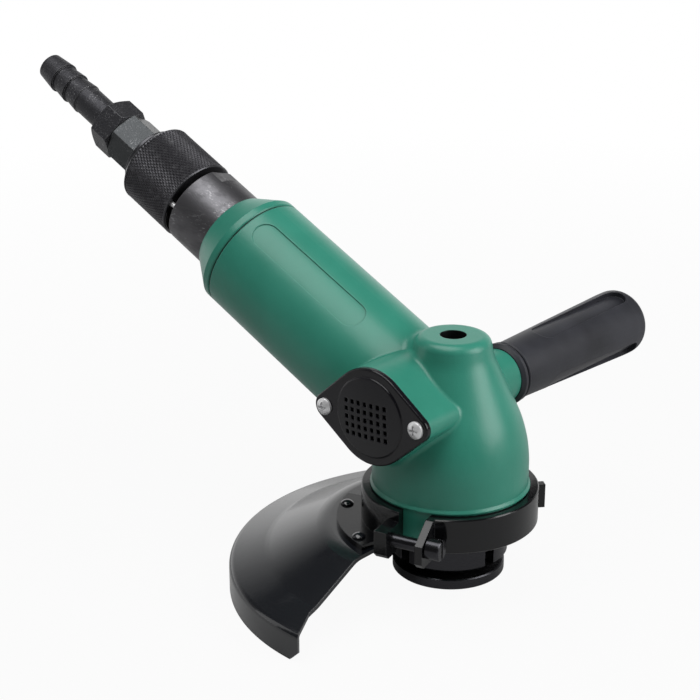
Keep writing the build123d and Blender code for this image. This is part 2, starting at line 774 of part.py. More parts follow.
seat_r = lower_bearing[0]
gear_bore_r = seat_r + fit_gap
gear_rim_r = crown_r + gear_rim
gear_inner_r = crown_r - gear_face
gear = turned(
    (gear_bore_r, race_top_z),
    (gear_hub_r, race_top_z),
    (gear_hub_r, gear_web_z),
    (gear_rim_r, gear_web_z),
    (gear_rim_r, axis_z - tooth_foot * gear_rim_r / crown_r),
    (gear_inner_r, axis_z - tooth_foot * gear_inner_r / crown_r),
    (gear_inner_r, gear_top_z),
    (gear_bore_r, gear_top_z),
)
tooth = Pos(0, 0, axis_z) * loft([crown_tooth(1.0), crown_tooth(inner_scale)], ruled=True)
gear = gear + [Rot(0, 0, 180 + 360 * k / crown_teeth) * tooth for k in range(crown_teeth)]
half_key = gear_key / 2
gear_key_z = race_top_z + gear_key_step
gear_key_top_z = gear_key_z + gear_key_length
way_low = seat_r - gear_key_low
way_high = seat_r + gear_key_high
gear = gear - block(way_low, way_high + 0.2, -half_key, half_key, race_top_z - 1, gear_key_top_z)
pieces["crown_gear"] = gear
pieces["gear_key"] = block(way_low, way_high, -half_key, half_key, gear_key_z, gear_key_top_z)

# spindle with its bearings
shaft_top_z = spindle_room_z - 1
spindle = turned(
    (0, pass_gap - pilot_depth),
    (shaft_r, pass_gap - pilot_depth),
    (shaft_r, flange_step_z),
    (seat_r, flange_step_z),
    (seat_r, gear_top_z),
    (spindle_collar_r, gear_top_z),
    (spindle_collar_r, gear_top_z + collar_height),
    (shaft_r, gear_top_z + collar_height),
    (shaft_r, shaft_top_z),
    (journal_r, shaft_top_z),
    (journal_r, bush_top_z - pass_gap),
    (0, bush_top_z - pass_gap),
)
spindle = spindle - rod(wheel_thread_r, -pilot_depth - 1, wheel_thread_depth - pilot_depth)
spindle = spindle - block(way_low, seat_r + 1, -half_key, half_key, gear_key_z, gear_key_top_z)
pieces["spindle"] = spindle
outer_race, inner_race, balls = ball_bearing(lower_bearing, bearing_z)
pieces["lower_bearing_outer"] = outer_race
pieces["lower_bearing_inner"] = inner_race - rod(seat_r + fit_gap, bearing_z - 1, race_top_z + 1)
pieces["lower_bearing_balls"] = balls
pieces["upper_bush"] = ring(bush_r, journal_r + running_gap, spindle_room_z, bush_top_z)

# wheel flange: seat disc, hub up to the bearing, pilot for the wheel bore
flange = eased(flange_r, 0, 0, flange_thick) + rod(flange_hub_r, flange_thick, bearing_z)
flange = flange + rod(pilot_r, -pilot_depth, 0)
flange = flange - rod(shaft_r + fit_gap, -pilot_depth - 1, flange_step_z)
flange = flange - rod(seat_r + fit_gap, flange_step_z, bearing_z + 1)
pieces["wheel_flange"] = flange

# castellated retainer and the seal inside it
retainer = turned(
    (retainer_bore_r, retainer_bottom_z),
    (retainer_r - retainer_edge, retainer_bottom_z),
    (retainer_r, retainer_bottom_z + retainer_edge),
    (retainer_r, retainer_top_z),
    (thread_r, retainer_top_z),
    (thread_r, bearing_z),
    (retainer_bore_r, bearing_z),
)
half_notch = retainer_notch / 2
notch_bottom_z = retainer_bottom_z - 1
notch = block(
    retainer_notch_floor_r, retainer_r + 1, -half_notch, half_notch, notch_bottom_z, retainer_notch_top_z
)
for k in range(retainer_notches):
    retainer = retainer - Rot(0, 0, retainer_notch_angle + 360 * k / retainer_notches) * notch
pieces["bearing_retainer"] = retainer
seal_bore = flange_hub_r + running_gap
pieces["spindle_seal"] = ring(retainer_bore_r - fit_gap, seal_bore, seal_z, seal_z + seal_width)

# guard band: split ring with two ears, a lug and two brackets
split = math.radians(split_angle)
split_out = (math.cos(split), math.sin(split), 0)
split_across = (math.sin(split), -math.cos(split), 0)
clamp = Plane(origin=(0, 0, 0), x_dir=split_out, z_dir=split_across).location
half = split_width / 2
band = eased(band_r, neck_r + running_gap, band_bottom_z, band_top_z)
band = band - clamp * block(0, band_r + 1, band_bottom_z - 1, band_top_z + 1, -half, half)


def ear(root_z, top_z, bottom_z, low, thick):
    outline = Polyline(
        (ear_in, band_bottom_z),
        (ear_in, root_z),
        (band_r + 0.6, root_z),
        (ear_out, top_z),
        (ear_out, bottom_z + ear_corner),
        (ear_out - ear_corner, bottom_z),
        (band_r + ear_corner, bottom_z),
        (band_r + 0.5, band_bottom_z),
        close=True,
    )
    return Pos(0, 0, low) * extrude(make_face(outline), thick)


band = band + clamp * ear(band_top_z, ear_top_z, ear_bottom_z, -half - ear_thick, ear_thick)
band = band + clamp * ear(ear_block_top_z, ear_block_top_z, ear_block_bottom_z, half, ear_block)
half_lug = lug_thick / 2
band = band + Rot(0, 0, lug_angle) * block(ear_in, lug_out, -half_lug, half_lug, lug_bottom_z, lug_top_z)
bracket_sweep = bracket_to - bracket_from
bracket_top_z = guard_hub_z + bracket_thick
foot_r = band_r - 1
foot_z = band_bottom_z + bracket_foot
bracket = Polyline(
    (ear_in, 0, guard_hub_z),
    (bracket_r, 0, guard_hub_z),
    (bracket_r, 0, bracket_top_z),
    (foot_r, 0, bracket_top_z),
    (foot_r, 0, foot_z),
    (ear_in, 0, foot_z),
    close=True,
)
for start in (bracket_from, -bracket_to):
    band = band + Rot(0, 0, guard_turn + start) * revolve(make_face(bracket), Axis.Z, bracket_sweep)
screw_line = clamp * Pos(clamp_out, clamp_z)
band = band - screw_line * rod(clamp_screw_r + pass_gap, -half - ear_thick - 1, 0)
band = band - screw_line * rod(clamp_screw_r + fit_gap, 0, half + ear_block + 1)
rivet_spots = []
for angle in rivet_angles:
    for way in (-1, 1):
        rivet_spots.append(Rot(0, 0, guard_turn + way * angle) * Pos(rivet_circle, 0))
for spot in rivet_spots:
    band = band - spot * rod(rivet_r + fit_gap, guard_hub_z - 1, bracket_top_z + 1)
pieces["guard_band"] = band
head_to = -half - ear_thick
head_from = head_to - clamp_head
slot_floor = head_from + clamp_slot_depth
half_slot = clamp_slot / 2
clamp_screw = eased(clamp_head_r, 0, head_from, head_to)
clamp_screw = clamp_screw + rod(clamp_screw_r, head_to, half + ear_block - 0.5)
head_slot = block(-half_slot, half_slot, -clamp_head_r, clamp_head_r, head_from - 1, slot_floor)
clamp_screw = clamp_screw - head_slot
pieces["clamp_screw"] = screw_line * clamp_screw

# guard sheet and its rivets
line = FilletPolyline(
    (guard_inner_r, guard_hub_z),
    (guard_flat_r, guard_hub_z),
    (guard_knee_r, guard_knee_z),
    (guard_r, guard_edge_z),
    (guard_r, guard_bottom_z),
    radius=guard_bends,
)
sheet = Plane.XZ * make_face(offset(line, guard_thick, side=Side.RIGHT))
guard_far = guard_r + 1
open_side = Polyline(
    (-guard_cut, guard_far),
    (-guard_cut, -guard_cut_r),
    (-guard_cut_rim, -guard_far),
    (guard_far, -guard_far),
    (guard_far, guard_far),
    close=True,
)
corner = Polyline(
    (-guard_cut_rim - guard_corner - 1, 0, guard_bottom_z - 1),
    (0, 0, guard_bottom_z - 1),
    (0, 0, guard_bottom_z + guard_corner + guard_cut_rim),
    close=True,
)
trim = Pos(0, 0, guard_bottom_z - 1) * extrude(make_face(open_side), guard_hub_z - guard_bottom_z + 2)
trim = Rot(0, 0, guard_half - 90) * (trim + extrude(make_face(corner), guard_far, dir=(0, -1, 0)))
guard = Rot(0, 0, guard_turn) * (revolve(sheet, Axis.Z) - trim - mirror(trim, about=Plane.XZ))
sheet_bottom_z = guard_hub_z - guard_thick
for spot in rivet_spots:
    guard = guard - spot * rod(rivet_r + fit_gap, sheet_bottom_z - 1, guard_hub_z + 1)
pieces["guard"] = guard
rivet = domed(rivet_head_r, bracket_top_z, bracket_top_z + 0.3 * rivet_head, 0.7 * rivet_head)
rivet = rivet + rod(rivet_r, sheet_bottom_z, bracket_top_z)
rivet = rivet + rod(rivet_head_r, sheet_bottom_z - rivet_tail, sheet_bottom_z)
pieces["guard_rivets"] = [spot * rivet for spot in rivet_spots]

for name, piece in pieces.items():
    if isinstance(piece, list):
        piece = Compound(children=[one if isinstance(one, Solid) else one.solid() for one in piece])
    export_step(piece, f"parts/{name}.step")
    print(name, round(piece.volume / 1000, 2), len(piece.solids()))
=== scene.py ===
import math

import bmesh
import bpy
from mathutils import Matrix, Vector


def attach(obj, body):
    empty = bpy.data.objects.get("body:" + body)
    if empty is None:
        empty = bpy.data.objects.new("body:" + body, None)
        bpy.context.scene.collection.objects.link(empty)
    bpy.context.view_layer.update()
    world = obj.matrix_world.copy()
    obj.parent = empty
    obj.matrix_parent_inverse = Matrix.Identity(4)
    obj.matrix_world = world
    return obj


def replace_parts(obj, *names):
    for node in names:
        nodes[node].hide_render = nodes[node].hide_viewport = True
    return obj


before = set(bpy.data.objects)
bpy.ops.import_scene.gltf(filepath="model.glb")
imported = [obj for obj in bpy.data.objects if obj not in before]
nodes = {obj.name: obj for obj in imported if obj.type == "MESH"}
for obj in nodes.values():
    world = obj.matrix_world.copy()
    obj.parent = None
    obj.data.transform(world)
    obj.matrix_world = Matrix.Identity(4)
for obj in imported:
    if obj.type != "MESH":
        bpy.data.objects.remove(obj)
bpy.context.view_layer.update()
scene = bpy.context.scene
scene.view_settings.view_transform = "Standard"
print("frame loaded:", len(nodes), "nodes")

# the barrel leans back from the head; both lines repeat the source, in metres
slope = math.asin(17 / 38)
barrelLine = Vector((-math.cos(slope), 0, math.sin(slope)))
barrelUp = Vector((math.sin(slope), 0, math.cos(slope)))
spindleLine = Vector((0, 0, 1))
handleLine = Vector((0, 1, 0))
barrelSide = barrelLine.cross(barrelUp)
barrelFoot = (0, 0, 0.065)
barrelTurn = Matrix((barrelUp, barrelSide, barrelLine)).transposed().to_4x4()
barrelFrame = Matrix.Translation(barrelFoot) @ barrelTurn @ Matrix.Scale(0.001, 4)  # from millimetres


# camera

shot = {"place": (0.4174, -0.5471, 0.3570), "turn": 41.14, "tilt": 20.10, "lens": 84.857, "sensor": 36}


def setCamera():
    turn, tilt = math.radians(shot["turn"]), math.radians(shot["tilt"])
    right = Vector((math.cos(turn), math.sin(turn), 0))
    back = Vector((math.sin(turn) * math.cos(tilt), -math.cos(turn) * math.cos(tilt), math.sin(tilt)))
    up = back.cross(right)
    camera = bpy.data.objects.new("camera", bpy.data.cameras.new("camera"))
    camera.data.lens = shot["lens"]
    camera.data.sensor_width = shot["sensor"]
    facing = Matrix((right, up, back)).transposed().to_4x4()
    camera.matrix_world = Matrix.Translation(shot["place"]) @ facing
    scene.collection.objects.link(camera)
    scene.camera = camera
    return right, back


viewRight, viewBack = setCamera()
print("camera set")


# shader maths as plain expressions


class Wire:
    def __init__(self, finish, socket):
        self.finish, self.socket = finish, socket

    def __add__(self, other):
        return self.finish.maths("ADD", self, other)

    __radd__ = __add__

    def __sub__(self, other):
        return self.finish.maths("SUBTRACT", self, other)

    def __rsub__(self, other):
        return self.finish.maths("SUBTRACT", other, self)

    def __mul__(self, other):
        return self.finish.maths("MULTIPLY", self, other)

    __rmul__ = __mul__


class Finish:
    def __init__(self, owner):
        owner.use_nodes = True
        self.owner, self.tree = owner, owner.node_tree
        self.tree.nodes.clear()

    def node(self, kind, settings, sockets, out=0):
        made = self.tree.nodes.new("ShaderNode" + kind)
        for name, value in settings.items():
            if name == "stops":
                for spot in range(len(value) - 2):
                    made.color_ramp.elements.new(0.5)
                for element, (place, tone) in zip(made.color_ramp.elements, value):
                    element.position, element.color = place, (tone, tone, tone, 1)
            else:
                setattr(made, name, value)
        for name, value in sockets.items():
            if isinstance(value, Wire):
                self.tree.links.new(value.socket, made.inputs[name])
            else:
                made.inputs[name].default_value = value
        return Wire(self, made.outputs[out]) if made.outputs else None

    def maths(self, operation, first, second):
        return self.node("Math", {"operation": operation}, {0: first, 1: second})

    def place(self):
        return self.node("TexCoord", {}, {}, "Object")

    def ray(self, kind):
        return self.node("LightPath", {}, {}, kind)

    # how far a place lies along a line
    def lengthAlong(self, place, line):
        return self.node("VectorMath", {"operation": "DOT_PRODUCT"}, {0: place, 1: line}, "Value")

    def length(self, place):
        return self.node("VectorMath", {"operation": "LENGTH"}, {0: place}, "Value")

    def cells(self, scale):
        sockets = {"Vector": self.place(), "Scale": scale}
        return self.node("TexVoronoi", {"feature": "F1"}, sockets, "Distance")

    def noise(self, scale, detail=2.0, rough=0.5, along=None):
        place = self.place() if along is None else along
        sockets = {"Vector": place, "Scale": scale, "Detail": detail, "Roughness": rough}
        return self.node("TexNoise", {}, sockets)

    # fine marks left by turning, which run round a line
    def turning(self, line, scale, detail=3.0):
        spot = self.lengthAlong(self.place(), line)
        sockets = {"W": spot, "Scale": scale, "Detail": detail, "Roughness": 0.6}
        return self.node("TexNoise", {"noise_dimensions": "1D"}, sockets)

    def ramp(self, value, *stops):
        return self.node("ValToRGB", {"stops": stops}, {"Fac": value})

    def tint(self, share, first, second):
        first = first if isinstance(first, Wire) else (*first, 1)
        second = second if isinstance(second, Wire) else (*second, 1)
        return self.node("Mix", {"data_type": "RGBA"}, {0: share, 6: first, 7: second}, 2)

    def softEdge(self, radius):
        return self.node("Bevel", {"samples": 6}, {"Radius": radius}, "Normal")

    # 0 on a face, rising to 1 along an outer or inner edge
    def edge(self, soft, gain):
        flat = self.node("NewGeometry", {}, {}, "Normal")
        turned = 1 - self.lengthAlong(soft, flat)
        return self.node("Math", {"operation": "MULTIPLY", "use_clamp": True}, {0: turned, 1: gain})

    def bump(self, height, strength, depth, normal=None):
        sockets = {"Height": height, "Strength": strength, "Distance": depth}
        if normal is not None:
            sockets["Normal"] = normal
        return self.node("Bump", {}, sockets, "Normal")

    def surface(self, **sockets):
        spaced = ("Base Color", "Roughness", "Metallic", "Normal", "Coat Weight", "Coat Roughness",
                  "Specular IOR Level", "Sheen Weight", "Sheen Roughness")
        names = {name.replace(" ", ""): name for name in spaced}
        shader = self.node("BsdfPrincipled", {}, {names[name]: value for name, value in sockets.items()})
        self.node("OutputMaterial", {}, {"Surface": shader})
        return self.owner


def newFinish(name):
    return Finish(bpy.data.materials.new(name))


# finishes


def greenEnamel():
    look = {"colour": (0.036, 0.252, 0.180), "pale": (0.085, 0.345, 0.262), "deep": (0.028, 0.215, 0.152),
            "gloss": 0.34, "cloud": 26, "peel": 1500, "grain": 5200, "waves": 170, "breakup": 240,
            "edge": 0.0006}
    # the hole's colour is painted shade: near black inside the threaded hole
    hole = {"radius": 0.0060, "above": 0.095, "colour": (0.016, 0.018, 0.018), "metal": 0.6}
    paint = newFinish("greenEnamel")
    cloud = paint.noise(look["cloud"], 4)
    peel = paint.noise(look["peel"], 2)
    grain = paint.noise(look["grain"], 1)
    soft = paint.softEdge(look["edge"])
    # painted highlight: edges are lightened towards the pale tone, broken up by noise
    edgeHighlight = paint.edge(soft, 5.0) * paint.ramp(paint.noise(look["breakup"], 3), (0.35, 0.15), (0.65, 0.8))
    body = paint.tint(paint.ramp(cloud, (0.35, 0), (0.65, 1)), look["deep"], look["colour"])
    body = paint.tint(paint.ramp(grain, (0.62, 0), (0.78, 0.35)), body, look["pale"])
    body = paint.tint(edgeHighlight * 0.6, body, look["pale"])
    rough = look["gloss"] + (cloud - 0.5) * 0.16 + (peel - 0.5) * 0.08
    height = peel * 0.6 + grain * 0.25 + paint.noise(look["waves"], 2) * 1.6
    # the threaded hole in the top boss is bare metal, not painted, and its near-black colour is painted shade
    # inside the hole
    spot = paint.place()
    flat = paint.node("VectorMath", {"operation": "MULTIPLY"}, {0: spot, 1: (1, 1, 0)})
    inside = paint.maths("LESS_THAN", paint.length(flat), hole["radius"])
    bare = inside * paint.maths("GREATER_THAN", paint.lengthAlong(spot, (0, 0, 1)), hole["above"])
    body = paint.tint(bare, body, hole["colour"])
    return paint.surface(BaseColor=body, Roughness=rough, Metallic=bare * hole["metal"],
                         Normal=paint.bump(height, 0.16, 0.0003, soft),
                         CoatWeight=0.06, CoatRoughness=0.2, SpecularIORLevel=0.42)


# gloss black paint, thick on the guard and thinner on the band
def blackEnamel(name, colour, gloss, coat, shine):
    look = {"edgeHighlightTone": (0.060, 0.063, 0.070), "dusty": (0.05, 0.05, 0.052), "cloud": 34, "peel": 620,
            "dust": 2600, "waves": 95, "breakup": 310, "edge": 0.0005}
    paint = newFinish(name)
    cloud = paint.noise(look["cloud"], 4)
    peel = paint.noise(look["peel"], 2)
    dust = paint.ramp(paint.noise(look["dust"], 2), (0.66, 0), (0.80, 0.5))
    soft = paint.softEdge(look["edge"])
    # painted highlight: edges are lightened towards a grey and made rougher, broken up by noise
    edgeHighlight = paint.edge(soft, 4.0) * paint.ramp(paint.noise(look["breakup"], 3), (0.38, 0.1), (0.7, 0.7))
    body = paint.tint(dust * cloud * 0.35, colour, look["dusty"])
    body = paint.tint(edgeHighlight * 0.55, body, look["edgeHighlightTone"])
    rough = gloss + (cloud - 0.5) * 0.12 + dust * 0.1 + edgeHighlight * 0.12
    height = peel * 0.8 + paint.noise(look["waves"], 2) * 1.2
    return paint.surface(BaseColor=body, Roughness=rough, Normal=paint.bump(height, 0.10, 0.0003, soft),
                         CoatWeight=coat, CoatRoughness=0.07, SpecularIORLevel=shine)


def mouldedPlastic(name, colour, gloss, grain, edge, shine):
    look = {"cloud": 40, "finer": 2.2}
    plastic = newFinish(name)
    cloud = plastic.noise(look["cloud"], 3)
    pits = plastic.cells(grain)
    fine = plastic.noise(grain * look["finer"], 2)
    soft = plastic.softEdge(edge)
    # painted highlight: edges are lightened towards the pale tone
    edgeHighlight = plastic.edge(soft, 4.0)
    pale = tuple(min(1, tone * 3.0 + 0.002) for tone in colour)
    body = plastic.tint(plastic.ramp(cloud, (0.3, 0), (0.7, 0.45)), colour, pale)
    body = plastic.tint(edgeHighlight * 0.45, body, pale)
    rough = gloss + (cloud - 0.5) * 0.14 + (fine - 0.5) * 0.12
    relief = plastic.bump(pits + fine * 0.6, 0.45 * gloss, 0.00012, soft)  # the duller, the coarser
    return plastic.surface(BaseColor=body, Roughness=rough, Normal=relief, SpecularIORLevel=shine)


# turned or ground metal with marks round its line
def turnedMetal(name, colour, gloss, line, marks=2600, stain=0.25, metal=1.0, edge=0.0004):
    look = {"cloud": 70, "spots": 900}
    steel = newFinish(name)
    lines = steel.turning(line, marks)
    cloud = steel.noise(look["cloud"], 4)
    spots = steel.ramp(steel.noise(look["spots"], 3), (0.58, 0), (0.74, 1))
    soft = steel.softEdge(edge)
    # painted highlight: edges are lightened towards the pale tone
    edgeHighlight = steel.edge(soft, 4.0)
    dark = tuple(tone * 0.55 for tone in colour)
    pale = tuple(min(0.9, tone * 1.7 + 0.05) for tone in colour)
    body = steel.tint(cloud * stain + spots * stain * 0.5, colour, dark)
    body = steel.tint(edgeHighlight * 0.6, body, pale)
    rough = gloss + (lines - 0.5) * 0.16 + (cloud - 0.5) * 0.14
    return steel.surface(BaseColor=body, Roughness=rough, Metallic=metal,
                         Normal=steel.bump(lines + cloud * 0.3, 0.14, 0.00008, soft))


# the collar has been gripped with a spanner: pale scuffs and darker smears over the turned steel
def collarSteel():
    look = {"colour": (0.128, 0.126, 0.134), "smear": (0.070, 0.069, 0.074), "scuff": (0.34, 0.34, 0.35),
            "gloss": 0.40, "marks": 2600, "smears": 230, "patches": 75, "scuffs": 1100, "drawn": 0.35,
            "edge": 0.0005}
    steel = newFinish("collarSteel")
    lines = steel.turning(barrelLine, look["marks"])
    stretch = {"Vector": steel.place(), "Rotation": (0, slope, 0), "Scale": (look["drawn"], 1, 1)}
    drawn = steel.node("Mapping", {}, stretch)
    smear = steel.ramp(steel.noise(look["smears"], 5, 0.65, drawn), (0.46, 0), (0.60, 1))
    patch = steel.ramp(steel.noise(look["patches"], 3), (0.48, 0), (0.62, 1))
    scuff = steel.ramp(steel.noise(look["scuffs"], 4, 0.7, drawn), (0.54, 0), (0.62, 0.9)) * patch
    soft = steel.softEdge(look["edge"])
    # painted highlight: edges are lightened towards the pale scuff tone
    edgeHighlight = steel.edge(soft, 4.0)
    body = steel.tint(smear * 0.4, look["colour"], look["smear"])
    body = steel.tint(scuff, body, look["scuff"])
    body = steel.tint(edgeHighlight * 0.6, body, look["scuff"])
    rough = look["gloss"] + smear * 0.08 - scuff * 0.06 + (lines - 0.5) * 0.14
    return steel.surface(BaseColor=body, Roughness=rough, Metallic=0.9,
                         Normal=steel.bump(lines + scuff * 0.4, 0.14, 0.00008, soft))


# blacked steel with crisp cut edges, a little bare on the points of the knurl
def knurlSteel():
    look = {"colour": (0.052, 0.051, 0.057), "bare": (0.22, 0.22, 0.23), "gloss": 0.36, "metal": 0.6,
            "cloud": 120, "grain": 4200, "breakup": 300}
    steel = newFinish("knurlSteel")
    cloud = steel.noise(look["cloud"], 4)
    grain = steel.noise(look["grain"], 2)
    bare = steel.ramp(steel.noise(look["breakup"], 3), (0.50, 0), (0.70, 0.4))
    body = steel.tint(bare * cloud, look["colour"], look["bare"])
    rough = look["gloss"] + (cloud - 0.5) * 0.2 + (grain - 0.5) * 0.1
    return steel.surface(BaseColor=body, Roughness=rough, Metallic=look["metal"],
                         Normal=steel.bump(grain, 0.06, 0.00003))


# rough dark coat on the hose fittings, with pale specks painted in as glints
def phosphateCoat(name, colour, gloss, speckle, metal):
    look = {"grain": (0.38, 0.38, 0.39), "grit": 1500, "pits": 1100.0, "patches": 150, "edge": 0.0005}
    coat = newFinish(name)
    grit = coat.noise(look["grit"], 3, 0.65)
    pits = coat.cells(look["pits"])
    patch = coat.noise(look["patches"], 3)
    soft = coat.softEdge(look["edge"])
    # painted highlight: edges are lightened towards the pale grain tone
    edgeHighlight = coat.edge(soft, 4.0)
    # painted glints: pale specks in the colour where grit and patch noise are high
    glints = coat.ramp(grit, (0.56, 0), (0.70, speckle)) * coat.ramp(patch, (0.40, 0.1), (0.62, 1))
    body = coat.tint(glints, colour, look["grain"])
    body = coat.tint(edgeHighlight * 0.5, body, look["grain"])
    rough = gloss + (grit - 0.5) * 0.3 - glints * 0.12
    return coat.surface(BaseColor=body, Roughness=rough, Metallic=metal, SpecularIORLevel=0.25,
                        Normal=coat.bump(grit + pits * 0.7, 0.5 * speckle, 0.0003, soft))


def feltPad():
    look = {"deep": (0.022, 0.022, 0.022), "pale": (0.13, 0.13, 0.125), "lay": (1.0, 0.3, 2.2),
            "fibres": 2600, "tufts": 420}
    felt = newFinish("feltPad")
    laid = felt.node("Mapping", {}, {"Vector": felt.place(), "Scale": look["lay"]})
    fibres = felt.noise(look["fibres"], 4, 0.7, laid)
    tufts = felt.noise(look["tufts"], 3)
    body = felt.tint(fibres * 0.7 + tufts * 0.3, look["deep"], look["pale"])
    return felt.surface(BaseColor=body, Roughness=0.92, Normal=felt.bump(fibres + tufts, 0.7, 0.0004),
                        SheenWeight=0.3, SheenRoughness=0.5)


def sealRubber():
    look = {"deep": (0.010, 0.010, 0.010), "pale": (0.024, 0.024, 0.025), "gloss": 0.62, "cloud": 110,
            "grain": 3800}
    rubber = newFinish("sealRubber")
    cloud = rubber.noise(look["cloud"], 3)
    grain = rubber.noise(look["grain"], 2)
    body = rubber.tint(cloud, look["deep"], look["pale"])
    return rubber.surface(BaseColor=body, Roughness=look["gloss"] + (grain - 0.5) * 0.2,
                          Normal=rubber.bump(grain, 0.2, 0.0001), SpecularIORLevel=0.35)


# layered vane sheet: resin with cloth showing in bands
def vaneLaminate():
    look = {"resin": (0.19, 0.095, 0.040), "cloth": (0.42, 0.25, 0.12), "gloss": 0.5, "layers": 5200,
            "weave": 1500}
    sheet = newFinish("vaneLaminate")
    layers = sheet.turning(handleLine, look["layers"], 2)
    weave = sheet.noise(look["weave"], 3)
    body = sheet.tint(layers * 0.6 + weave * 0.4, look["resin"], look["cloth"])
    return sheet.surface(BaseColor=body, Roughness=look["gloss"] + (weave - 0.5) * 0.2,
                         Normal=sheet.bump(layers + weave * 0.5, 0.2, 0.0001))


finishes = {
    "greenEnamel": (greenEnamel(), ["main_casing", "rear_cap"]),
    "guardEnamel": (blackEnamel("guardEnamel", (0.0068, 0.0080, 0.0108), 0.19, 0.50, 0.5),
                    ["guard", "guard_rivets"]),
    "bandEnamel": (blackEnamel("bandEnamel", (0.0040, 0.0042, 0.0050), 0.16, 0.25, 0.3), ["guard_band"]),
    "coverPlastic": (mouldedPlastic("coverPlastic", (0.0034, 0.0032, 0.0050), 0.17, 2400, 0.0009, 0.42),
                     ["exhaust_cover"]),
    "gripPlastic": (mouldedPlastic("gripPlastic", (0.0185, 0.0190, 0.0232), 0.44, 1250, 0.0006, 0.30),
                    ["side_handle"]),
    "collarSteel": (collarSteel(), ["throttle_body"]),
    "oxideSteel": (turnedMetal("oxideSteel", (0.048, 0.048, 0.053), 0.24, spindleLine, metal=0.9),
                   ["wheel_flange", "bearing_retainer", "clamp_screw"]),
    "sleeveSteel": (turnedMetal("sleeveSteel", (0.070, 0.070, 0.076), 0.32, barrelLine, metal=0.8),
                    ["throttle_sleeve", "sleeve_stop_ring"]),
    "knurlSteel": (knurlSteel(), []),
    "tailCoat": (phosphateCoat("tailCoat", (0.046, 0.046, 0.051), 0.45, 0.8, 0.7), ["hose_barb"]),
    "bushingCoat": (phosphateCoat("bushingCoat", (0.044, 0.047, 0.049), 0.33, 0.45, 0.85), ["inlet_bushing"]),
    "zincPlate": (turnedMetal("zincPlate", (0.92, 0.92, 0.93), 0.32, handleLine, 3400, 0.06, 0.5),
                  ["exhaust_screws", "throttle_stop_pin"]),
    "feltPad": (feltPad(), ["exhaust_silencer"]),
    "sealRubber": (sealRubber(), ["seam_gasket", "throttle_o_rings", "spindle_seal"]),
    "motorSteel": (turnedMetal("motorSteel", (0.46, 0.46, 0.47), 0.32, barrelLine),
                   ["rotor", "pinion_key", "bevel_pinion", "throttle_seat", "throttle_drive_pin"]),
    "spindleSteel": (turnedMetal("spindleSteel", (0.46, 0.46, 0.47), 0.32, spindleLine),
                     ["spindle", "crown_gear", "gear_key"]),
    "studSteel": (turnedMetal("studSteel", (0.48, 0.48, 0.49), 0.34, handleLine), ["handle_stud"]),
    "motorRaces": (turnedMetal("motorRaces", (0.60, 0.60, 0.62), 0.18, barrelLine, 5200, 0.12),
                   ["front_bearing_outer", "front_bearing_inner", "front_bearing_balls",
                    "rear_bearing_outer", "rear_bearing_inner", "rear_bearing_balls"]),
    "spindleRaces": (turnedMetal("spindleRaces", (0.60, 0.60, 0.62), 0.18, spindleLine, 5200, 0.12),
                     ["lower_bearing_outer", "lower_bearing_inner", "lower_bearing_balls"]),
    "motorIron": (turnedMetal("motorIron", (0.24, 0.24, 0.245), 0.45, barrelLine, 1800, 0.4),
                  ["front_plate", "motor_liner", "rear_plate"]),
    "vaneLaminate": (vaneLaminate(), ["rotor_vanes"]),
    "valveBronze": (turnedMetal("valveBronze", (0.58, 0.40, 0.19), 0.33, barrelLine), ["throttle_valve"]),
    "bushBronze": (turnedMetal("bushBronze", (0.58, 0.40, 0.19), 0.36, spindleLine), ["upper_bush"]),
}
for finish, members in finishes.values():
    for name in members:
        mesh = nodes[name].data
        mesh.materials.clear()
        mesh.materials.append(finish)
print("finishes given to", sum(len(members) for finish, members in finishes.values()), "nodes")


def addPiece(bm, name, looks, body):
    mesh = bpy.data.meshes.new(name)
    bm.to_mesh(mesh)
    bm.free()
    for look in looks:
        mesh.materials.append(finishes[look][0])
    piece = bpy.data.objects.new(name, mesh)
    scene.collection.objects.link(piece)
    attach(piece, body)
    print(name, "has", len(mesh.polygons), "faces")
    return piece


# twist sleeve with a cut diamond knurl

sleeve = {"tipR": 21.2, "depth": 0.50, "count": 72, "pitch": 2.72, "start": 180.9, "rows": 11,
          "front": 180.0, "rear": 213.5, "chamfer": 2.2, "edge": 0.5, "boreR": 13.06,
          "slotIn": 16.55, "slotOut": 19.85, "slotFloor": 183.4, "slotFrom": -146.2, "slotTo": -75.8,
          "weld": 0.003, "near": 0.01, "skin": 0.1}


def pushRing(bm, edges, radius, height):
    grown = bmesh.ops.extrude_edge_only(bm, edges=edges)["geom"]
    for vert in [item for item in grown if isinstance(item, bmesh.types.BMVert)]:
        out = radius / math.hypot(vert.co.x, vert.co.y)
        vert.co = (vert.co.x * out, vert.co.y * out, height)
    return [item for item in grown if isinstance(item, bmesh.types.BMEdge)]


